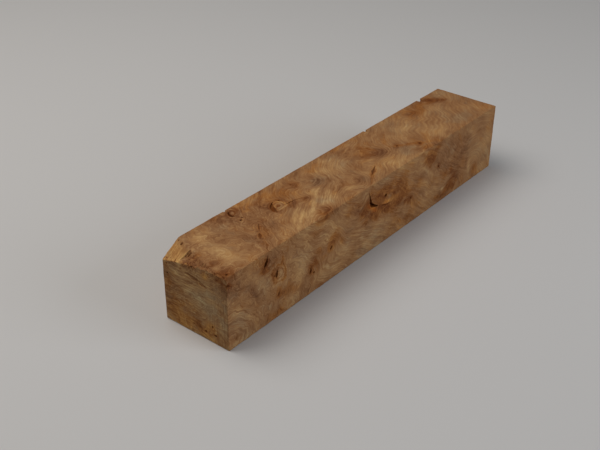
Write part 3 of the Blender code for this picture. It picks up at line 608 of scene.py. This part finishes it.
# The six flat faces, each triangulated over its plan points, turned outward and joined at their edges
def flatBlock():
    points, triangles, owners = [], [], []
    start = 0
    for number, (face, (_, _, fixed, _, inward, _)) in enumerate(faces.items()):
        found = delaunay_2d_cdt([Vector(p) for p in facePlan(face)], [], [], 0, 1e-5, False)
        at = ontoFace(face, np.array([tuple(p) for p in found[0]]))
        corners = np.array(found[2])
        normal = np.cross(at[corners[0, 1]] - at[corners[0, 0]], at[corners[0, 2]] - at[corners[0, 0]])
        if normal[fixed] * inward > 0:
            corners = corners[:, ::-1]
        points.append(at)
        triangles.append(corners + start)
        owners.append(np.full(len(corners), number))
        start += len(at)
    points, triangles = np.vstack(points), np.vstack(triangles)
    _, firstOf, merged = np.unique(np.round(points, 3), axis=0, return_index=True, return_inverse=True)
    points, triangles = points[firstOf], merged.reshape(-1)[triangles]
    a, b, c = triangles.T
    proper = (a != b) & (b != c) & (a != c)
    return points, triangles[proper], np.concatenate(owners)[proper]


flat, triangles, owners = flatBlock()
shaped, drop = shapedBlock(flat)
# Depth of each void, the darkened wood round it, and the painted highlight along its rim
hollow, halo, lip = np.zeros((3, len(flat)))
for face, (first, second, fixed, value, inward, _) in faces.items():
    member = np.flatnonzero(np.abs(flat[:, fixed] - value) < 1e-6)
    deep, around, rim = voidDepth(face, shaped[member][:, [first, second]])
    spots = flat[member][:, [first, second]]
    fromLow, fromHigh = spots - blockLow[[first, second]], blockHigh[[first, second]] - spots
    deep = np.where(np.minimum(fromLow, fromHigh).min(1) < 1e-6, 0, deep)
    shaped[member, fixed] += inward * deep
    hollow[member] = np.maximum(hollow[member], deep)
    halo[member] = np.maximum(halo[member], around)
    lip[member] = np.maximum(lip[member], rim)
bitten = np.zeros(len(flat), bool)
for notch in notches:
    bitten |= bite(shaped, *notch)
hollow = np.where(bitten, np.maximum(hollow, 0.7), hollow)
print("block mesh:", len(flat), "points,", len(triangles), "triangles")

raggedEdge = 1 + 0.35 * hashNoise(flat / 5.0, 31) + 0.2 * hashNoise(flat / 2.0, 32)


# How far each point is from an oval patch on a face, over its radii, its border made ragged by noise
def patchDistance(face, a, b, long, wide, turn, deep, ragged=1.0):
    first, second, fixed, value, inward = faces[face][:5]
    angle = np.radians(turn)
    u = (flat[:, first] - a) * np.cos(angle) + (flat[:, second] - b) * np.sin(angle)
    v = -(flat[:, first] - a) * np.sin(angle) + (flat[:, second] - b) * np.cos(angle)
    w = (flat[:, fixed] - value) * inward
    return np.sqrt((u / long) ** 2 + (v / wide) ** 2 + (w / deep) ** 2) * ragged


# Growth lines are level lines of one field of depth in the tree: an even slope, bent by noise of 34 and
# 11 mm, lifted by a bell at each eye, and rippled along the lines where the figure is curly.
growthPlan = {
    "slope": (-0.45, 0.54, -0.71), "swirl": 8.0, "bend": 1.5, "eyeLift": 1.9, "eyeDepth": 14.0,
    "curly": ("top", 102, 0, 42, 20, 0, 20.0),
    "ripple": 0.75, "rippleLength": 13.0, "rippleRun": (0.82, 0.50, 0.28),
}
growth = flat @ np.array(growthPlan["slope"])
growth += growthPlan["swirl"] * hashNoise(flat / 34.0, 51) + growthPlan["bend"] * hashNoise(flat / 11.0, 52)
for face, rows in eyes.items():
    for a, b, long, wide, turn, wrap in rows:
        ragged = 1 + (raggedEdge - 1) * 0.4
        away = patchDistance(face, a, b, long, wide, turn, growthPlan["eyeDepth"], ragged)
        growth += wrap * growthPlan["eyeLift"] * np.sqrt(long * wide) * np.exp(-0.5 * away ** 2)
curly = np.exp(-patchDistance(*growthPlan["curly"]) ** 4)
alongLines = flat @ np.array(growthPlan["rippleRun"]) + 2.5 * hashNoise(flat / 9.0, 53)
growth += curly * growthPlan["ripple"] * np.sin(2 * np.pi * alongLines / growthPlan["rippleLength"])

# Stains and the painted light patches among them: a face's strength and how much warmer its stains get per
# step of darkness, how deep stains and rings go in mm, noise on tone and warmth as (amount, size in mm, seed),
# the curly waves of partly painted sheen, and how much crisper the grain is toward the near end
stainAndPaintedLightPlan = {
    "faces": {"side": (1.35, 0.5), "near": (1.0, 0.2), "back": (1.2, 0.4)}, "deep": 9.0, "ringsDeep": 5.0,
    # Curly waves: amount and waves per growth line of a tone that is partly the curl's colour, partly painted
    # sheen
    "spread": 1.05, "toneNoise": [(0.20, 13.0, 61), (0.16, 5.5, 62)], "curlyGrainAndSheen": (0.17, 2.7),
    "warmNoise": [(0.45, 16.0, 63), (0.3, 6.0, 64)],
    "crisp": (0.75, 0.55), "crispFrom": 150, "crispOver": 260, "curlySoft": 0.45,
}
tone, warmth = np.zeros((2, len(flat)))
# Stain patches, among them the painted light and shade near the cut corner
for face, rows in stainsAndPaintedLight.items():
    strength, darkWarmth = stainAndPaintedLightPlan["faces"].get(face, (1.0, 0.0))
    for a, b, long, wide, turn, toneBy, warmBy in rows:
        away = patchDistance(face, a, b, long, wide, turn, stainAndPaintedLightPlan["deep"], raggedEdge)
        share = np.exp(-(away / stainAndPaintedLightPlan["spread"]) ** 2)
        tone += toneBy * share * strength
        warmth += (warmBy - toneBy * darkWarmth) * share
for face, rows in eyeRings.items():
    for a, b, long, wide, turn, shares in rows:
        away = patchDistance(face, a, b, long, wide, turn, stainAndPaintedLightPlan["ringsDeep"], 1 + (raggedEdge - 1) * 0.6)
        for radius, span, toneBy, warmBy in shares:
            share = np.exp(-((away - radius) / span) ** 2)
            tone += toneBy * share
            warmth += warmBy * share
for amount, size, seed in stainAndPaintedLightPlan["toneNoise"]:
    tone += amount * hashNoise(flat / size, seed)
for amount, size, seed in stainAndPaintedLightPlan["warmNoise"]:
    warmth += amount * hashNoise(flat / size, seed)
# Pale and dark waves along the growth lines in the curly patch: partly the curl's own colour, partly painted
# sheen
curlyGrainAndSheen, perLine = stainAndPaintedLightPlan["curlyGrainAndSheen"]
tone += curly * curlyGrainAndSheen * np.sin(growth * perLine)
crispFar, crispMore = stainAndPaintedLightPlan["crisp"]
towardNear = np.clip((stainAndPaintedLightPlan["crispFrom"] - flat[:, 0]) / stainAndPaintedLightPlan["crispOver"], 0, 1)
crisp = (crispFar + crispMore * towardNear) * (1 - stainAndPaintedLightPlan["curlySoft"] * curly)
print("growth lines and stains laid")

mesh = bpy.data.meshes.new("burlBlock")
mesh.vertices.add(len(shaped))
mesh.vertices.foreach_set("co", (shaped * mm).ravel())
mesh.loops.add(triangles.size)
mesh.loops.foreach_set("vertex_index", triangles.ravel())
mesh.polygons.add(len(triangles))
mesh.polygons.foreach_set("loop_start", np.arange(0, triangles.size, 3))
mesh.polygons.foreach_set("loop_total", np.full(len(triangles), 3))
mesh.update(calc_edges=True)

# The map lays the six faces unturned in one square: four long strips, then the two ends side by side
mapGap = 2.0
mapSide = length + 2 * mapGap
mapStep = width + mapGap
strips, ends = ("top", "side", "bottom", "back"), ("near", "far")
mapCorners = {name: (mapGap, mapGap + row * mapStep) for row, name in enumerate(strips)}
mapCorners.update({name: (mapGap + spot * mapStep, mapGap + 4 * mapStep) for spot, name in enumerate(ends)})
unwrapped = np.empty((len(triangles), 3, 2))
for number, (face, (first, second, *_)) in enumerate(faces.items()):
    mine = owners == number
    spots = flat[triangles[mine]][..., [first, second]] - [blockLow[first], blockLow[second]]
    unwrapped[mine] = (spots + mapCorners[face]) / mapSide
mesh.uv_layers.new(name="OFBake").uv.foreach_set("vector", unwrapped.astype(np.float32).ravel())
mesh.validate()
mesh.shade_smooth()
mesh.set_sharp_from_angle(angle=np.radians(42))

# What the finish reads at each point. Worn wood is the torn edge, the top's first 2 mm and the end below.
onTop = np.abs(flat[:, 2] - height) < 1e-6
onNear = np.abs(flat[:, 0] - nearX) < 1e-6
onFar = np.abs(flat[:, 0] - farX) < 1e-6
belowCut = drop > cutDrop(flat[:, 0], flat[:, 1]) + 0.2
torn = (drop > 0.05) & onTop & (flat[:, 1] < corner["tornLeft"][1]) & belowCut
underEdge = onNear * np.exp(-((height - flat[:, 2]) / 4.5) ** 2)
layers = {
    "growth": growth, "tone": tone, "warmth": warmth, "crisp": crisp, "hollow": hollow, "halo": halo, "lip": lip,
    "worn": np.where(torn | (onTop & (flat[:, 0] < nearX + 2)), 1.0, underEdge), "torn": torn * 1.0,
    "cut": np.where(onTop & ~torn, np.clip((drop - 0.05) / 3.0, 0, 1), 0.0), "endGrain": (onNear | onFar) * 1.0,
}
for name, values in layers.items():
    layer = mesh.attributes.new(name, "FLOAT", "POINT")
    layer.data.foreach_set("value", values.astype(np.float32))

burlBlock = bpy.data.objects.new("burlBlock", mesh)
bpy.context.scene.collection.objects.link(burlBlock)
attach(burlBlock, "root")
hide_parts("elm_burl_block")


# One socket of a material, so that sums written on it add Math nodes
class Wire:
    def __init__(self, finish, socket):
        self.finish, self.socket = finish, socket

    def math(self, operation, *others):
        return self.finish.node("Math", {"operation": operation}, dict(enumerate((self,) + others)))

    def __add__(self, other):
        return self.math("ADD", other)

    def __sub__(self, other):
        return self.math("SUBTRACT", other)

    def __mul__(self, other):
        return self.math("MULTIPLY", other)

    def __truediv__(self, other):
        return self.math("DIVIDE", other)

    def __rsub__(self, other):
        return self.finish.node("Math", {"operation": "SUBTRACT"}, {0: other, 1: self})

    __radd__, __rmul__ = __add__, __mul__


# A material under construction. node() is the one way in which it gets its nodes.
class Finish:
    def __init__(self, name):
        self.material = bpy.data.materials.new(name)
        self.material.use_nodes = True
        self.tree = self.material.node_tree
        self.shader = self.tree.nodes["Principled BSDF"]

    def node(self, kind, settings, inputs, output=0):
        made = self.tree.nodes.new("ShaderNode" + kind)
        for name, value in settings.items():
            if name == "stops":
                ramp = made.color_ramp
                while len(ramp.elements) < len(value):
                    ramp.elements.new(0.5)
                for element, (place, colour) in zip(ramp.elements, value):
                    element.position, element.color = place, (*colour, 1)
            else:
                setattr(made, name, value)
        for name, value in inputs.items():
            self.feed(made.inputs[name], value)
        return Wire(self, made.outputs[output])

    def feed(self, socket, value):
        if isinstance(value, Wire):
            self.tree.links.new(value.socket, socket)
        else:
            socket.default_value = value

    def attribute(self, name):
        return self.node("Attribute", {"attribute_name": name}, {}, "Fac")

    def noise(self, vector, detail=2.0, roughness=0.5, w=None):
        settings = {"noise_dimensions": "3D" if w is None else "4D"}
        inputs = {"Vector": vector, "Scale": 1.0, "Detail": detail, "Roughness": roughness}
        if w is not None:
            inputs["W"] = w
        return self.node("TexNoise", settings, inputs) - 0.5

    def scaled(self, vector, amount):
        return self.node("VectorMath", {"operation": "MULTIPLY"}, {0: vector, 1: (amount,) * 3})

    def dot(self, vector, other):
        return self.node("VectorMath", {"operation": "DOT_PRODUCT"}, {0: vector, 1: other}, "Value")

    def joined(self, x, y, z):
        return self.node("CombineXYZ", {}, {0: x, 1: y, 2: z})

    def smooth(self, value, low, high):
        return self.node("MapRange", {"interpolation_type": "SMOOTHSTEP"}, {0: value, 1: low, 2: high})

    def mix(self, below, above, share, blend="MIX"):
        inputs = {"Factor": share, 6: below, 7: (*above, 1)}
        return self.node("Mix", {"data_type": "RGBA", "blend_type": blend}, inputs, 2)


# Elm burl. Darker wood is more saturated: at tone t the brightness is 2^t, and red, green and blue follow
# it to the powers below. Each figure is noise that changes slowly along the growth lines and fast across
# them: size per mm, detail, roughness, change across the lines, shift.
burlTones = {
    "albedo": (0.350, 0.171, 0.067), "palePowers": (0.78, 1.08, 1.12), "darkPowers": (0.79, 1.08, 1.20),
    "tones": (-2.0, 1.0), "stops": 10,
    "figure": {
        "bands": (0.045, 1.0, 0.5, 0.20, 0), "streaks": (0.055, 1.0, 0.5, 0.60, 0),
        "fibres": (0.10, 1.0, 0.5, 1.5, 0), "stray": (0.10, 1.0, 0.5, 0.8, 40),
        "mottle": (0.34, 3.0, 0.6, 0.9, 0)},
    "warp": (0.20, 1.2), "stainsAndPaintedLight": 1.08, "bands": 0.7, "streaks": 0.75, "fibres": 1.3, "mottle": 1.0,
    "specks": 1.5, "specksIn": (0.1, -0.7), "calmCut": 0.8,
    "rings": {"perLine": 0.75, "strength": 0.30, "warp": (0.07, 9.0), "patches": (0.030, -0.10, 0.08),
              "width": (0.25, 1.0)},
    "saw": {"level": (0.1, 0.10, 0.85), "plumb": (0.1, 0.85, 0.08), "lean": 0.25, "turnsPlumb": (2.0, -16.0),
            "plumbShare": 0.8, "strength": 2.4},
    "cutFibres": {"along": (0.10, 0.0, 0.06), "across": 1.1, "strength": 2.4},
    "dashes": {"size": (0.9, 0.42, 0.9), "from": (0.06, 0.16), "strength": 1.0},
    # Painted highlight along each void's rim: how much it lightens and how much it warms the wood
    "halo": 0.7, "lip": 0.6, "rimHighlightWarmth": 0.6, "tints": 1.3, "bandWarmth": 1.2, "stray": 1.4, "paling": 0.2,
    "warmTints": [((1.11, 0.93, 0.61), 0.0, 1.3), ((1.12, 0.88, 0.55), 1.8, 4.2),
                  ((0.91, 1.03, 1.22), 0.0, -1.1)],
    "cut": (1.58, 1.66, 1.36), "torn": (0.98, 0.96, 0.96), "end": (0.91, 1.00, 1.06),
    "hollow": (0.170, 0.045, 0.004), "hollowFrom": (0.1, 2.0), "hollowShare": 0.95,
    "roughness": (0.62, 0.80), "hollowRough": 0.1, "bump": 0.5, "bumpHeight": 0.0004, "shine": 0.1,
    "relief": {"streaks": 0.6, "fibres": 0.5, "mottle": 0.4},
}


# Tone is the sum of stains with a few painted light and shade patches and the curl's partly painted sheen,
# figure, specks, saw marks, the darkened wood round voids and the painted highlight along their rims, and a ramp
# turns it into colour. Warmth then tints it: orange and amber above nought, grey below.
def burlFinish():
    finish = Finish("elmBurl")
    place = finish.scaled(finish.node("TexCoord", {}, {}, "Object"), 1000)
    warpSize, warpBy = burlTones["warp"]
    field = finish.attribute("growth") + finish.noise(finish.scaled(place, warpSize), 1.0) * warpBy
    figure = {}
    for name, (size, detail, rough, across, shift) in burlTones["figure"].items():
        figure[name] = finish.noise(finish.scaled(place, size), detail, rough, field * across + shift)
    ring = burlTones["rings"]
    ringPlace = field * ring["perLine"] + finish.noise(finish.scaled(place, ring["warp"][0])) * ring["warp"][1]
    ringShare = finish.smooth(finish.noise(finish.scaled(place, ring["patches"][0]), 1.0), *ring["patches"][1:])
    rings = finish.smooth(ringPlace.math("SINE"), *ring["width"]) * ringShare
    endGrain, cut, lip, hollow = (finish.attribute(name) for name in ("endGrain", "cut", "lip", "hollow"))
    x, y, z = (finish.dot(place, axis) for axis in ((1, 0, 0), (0, 1, 0), (0, 0, 1)))

    def stretched(sizes, detail=2.0, rough=0.6):
        return finish.noise(finish.joined(x * sizes[0], y * sizes[1], z * sizes[2]), detail, rough)

    sawPlan = burlTones["saw"]
    sawSide = finish.smooth(y + z * sawPlan["lean"], *sawPlan["turnsPlumb"])
    plumb = stretched(sawPlan["plumb"]) * sawPlan["plumbShare"]
    saw = stretched(sawPlan["level"]) * (1 - sawSide) + plumb * sawSide
    cutPlan = burlTones["cutFibres"]
    cutPlace = finish.joined(finish.dot(place, cutPlan["along"]), y * cutPlan["across"], 0.0)
    cutFibres = finish.noise(cutPlace, 2.0, 0.6)
    # Stains, rings and figure tone, with the painted light and shade patches and the painted sheen carried in it
    stainAndPaintedLight = finish.attribute("tone") * burlTones["stainsAndPaintedLight"]
    speckShare = finish.smooth(stainAndPaintedLight, *burlTones["specksIn"]) * burlTones["specks"] + burlTones["mottle"]
    lines = figure["streaks"] * burlTones["streaks"] + figure["fibres"] * burlTones["fibres"]
    lines = lines - rings * ring["strength"]
    fine = lines * (1 - cut * burlTones["calmCut"]) + figure["mottle"] * speckShare
    tone = stainAndPaintedLight + figure["bands"] * burlTones["bands"] + fine * finish.attribute("crisp")
    tone = tone + saw * endGrain * sawPlan["strength"] + cutFibres * cut * cutPlan["strength"]
    dashPlan = burlTones["dashes"]
    dashes = finish.smooth(stretched(dashPlan["size"], 1.0, 0.5), *dashPlan["from"])
    tone = tone - dashes * finish.attribute("worn") * dashPlan["strength"]
    # Darkened wood round each void, and the painted highlight along its rim
    tone = tone - finish.attribute("halo") * burlTones["halo"] + lip * burlTones["lip"]
    low, high = burlTones["tones"]
    stops = []
    for t in np.linspace(low, high, burlTones["stops"]):
        powers = burlTones["palePowers" if t > 0 else "darkPowers"]
        shade = [a * 2 ** (t * p) for a, p in zip(burlTones["albedo"], powers)]
        stops.append(((t - low) / (high - low), shade))
    colour = finish.node("ValToRGB", {"stops": stops}, {0: (tone - low) / (high - low)})
    warm = finish.attribute("warmth") * burlTones["tints"] + figure["bands"] * burlTones["bandWarmth"]
    warm = warm + figure["stray"] * burlTones["stray"] + lip * burlTones["rimHighlightWarmth"]
    warm = warm - tone * burlTones["paling"]
    for tint, start, stop in burlTones["warmTints"]:
        colour = finish.mix(colour, tint, finish.smooth(warm, start, stop), "MULTIPLY")
    for name, share in {"end": endGrain, "cut": cut, "torn": finish.attribute("torn")}.items():
        colour = finish.mix(colour, burlTones[name], share, "MULTIPLY")
    inHollow = finish.smooth(hollow, *burlTones["hollowFrom"]) * burlTones["hollowShare"]
    colour = finish.mix(colour, burlTones["hollow"], inHollow)
    roughLow, roughHigh = burlTones["roughness"]
    roughness = (roughLow + roughHigh) / 2 - figure["streaks"] * (roughHigh - roughLow)
    roughness = roughness + hollow * burlTones["hollowRough"]
    relief = saw * endGrain + cutFibres * cut
    for name, share in burlTones["relief"].items():
        relief = relief + figure[name] * share
    bumpInputs = {"Strength": burlTones["bump"], "Distance": burlTones["bumpHeight"], "Height": relief}
    finish.feed(finish.shader.inputs["Base Color"], colour)
    finish.feed(finish.shader.inputs["Roughness"], roughness)
    finish.feed(finish.shader.inputs["Normal"], finish.node("Bump", {}, bumpInputs, "Normal"))
    finish.shader.inputs["Specular IOR Level"].default_value = burlTones["shine"]
    return finish.material


mesh.materials.append(burlFinish())
print("burl finish made")


# The floor, the lamps and the photo's camera, in metres. A lamp: place, target, span, watts, colour
studio = {
    "floor": (0.66, 0.65, 0.63), "floorSize": 6.0, "floorLevel": -0.0001,
    "camera": (-0.46763, -0.33735, 0.35715), "lens": 58.05,
    "right": (0.6331, -0.77406, 0.0034), "down": (-0.40158, -0.33219, -0.85346),
    "forward": (0.66176, 0.53896, -0.52115),
    "lamps": {
        "overhead": ((-0.30, 0.45, 1.10), (0, 0, 0.03), 0.9, 7.9, (1.0, 0.95, 0.91)),
        "front": ((0.35, -1.25, 0.55), (0, 0, 0.02), 0.8, 5.7, (0.92, 1.0, 1.13)),
    },
    "sky": (0.96, 0.98, 1.0), "skyStrength": 0.16,
}


# A plain matt floor, two square lamps turned to their targets, and an even sky
def setStudio():
    size, level = studio["floorSize"] / 2, studio["floorLevel"]
    floorMesh = bpy.data.meshes.new("studioFloor")
    floorCorners = [(-size, -size, level), (size, -size, level), (size, size, level), (-size, size, level)]
    floorMesh.from_pydata(floorCorners, [], [(0, 1, 2, 3)])
    floor = bpy.data.objects.new("studioFloor", floorMesh)
    bpy.context.scene.collection.objects.link(floor)
    finish = Finish("studioFloor")
    finish.shader.inputs["Base Color"].default_value = (*studio["floor"], 1)
    finish.shader.inputs["Roughness"].default_value = 1.0
    finish.shader.inputs["Specular IOR Level"].default_value = 0.0
    floorMesh.materials.append(finish.material)
    for name, (at, target, span, power, colour) in studio["lamps"].items():
        lamp = bpy.data.lights.new(name, "AREA")
        lamp.size, lamp.energy, lamp.color = span, power, colour
        holder = bpy.data.objects.new(name, lamp)
        holder.location = at
        holder.rotation_euler = (Vector(target) - Vector(at)).to_track_quat("-Z", "Y").to_euler()
        bpy.context.scene.collection.objects.link(holder)
    world = bpy.data.worlds.new("studio")
    world.use_nodes = True
    sky = world.node_tree.nodes["Background"]
    sky.inputs["Color"].default_value = (*studio["sky"], 1)
    sky.inputs["Strength"].default_value = studio["skyStrength"]
    bpy.context.scene.world = world
    bpy.context.scene.view_settings.view_transform = "Standard"


# The camera's turn has the photo's right, up and backward directions as its columns.
def setCamera():
    camera = bpy.data.cameras.new("photoCamera")
    camera.lens, camera.sensor_width, camera.clip_start = studio["lens"], 36.0, 0.01
    holder = bpy.data.objects.new("photoCamera", camera)
    up, backward = [-v for v in studio["down"]], [-v for v in studio["forward"]]
    turn = Matrix((studio["right"], up, backward)).transposed()
    holder.matrix_world = Matrix.Translation(studio["camera"]) @ turn.to_4x4()
    bpy.context.scene.collection.objects.link(holder)
    bpy.context.scene.camera = holder


setStudio()
setCamera()
print("studio set")
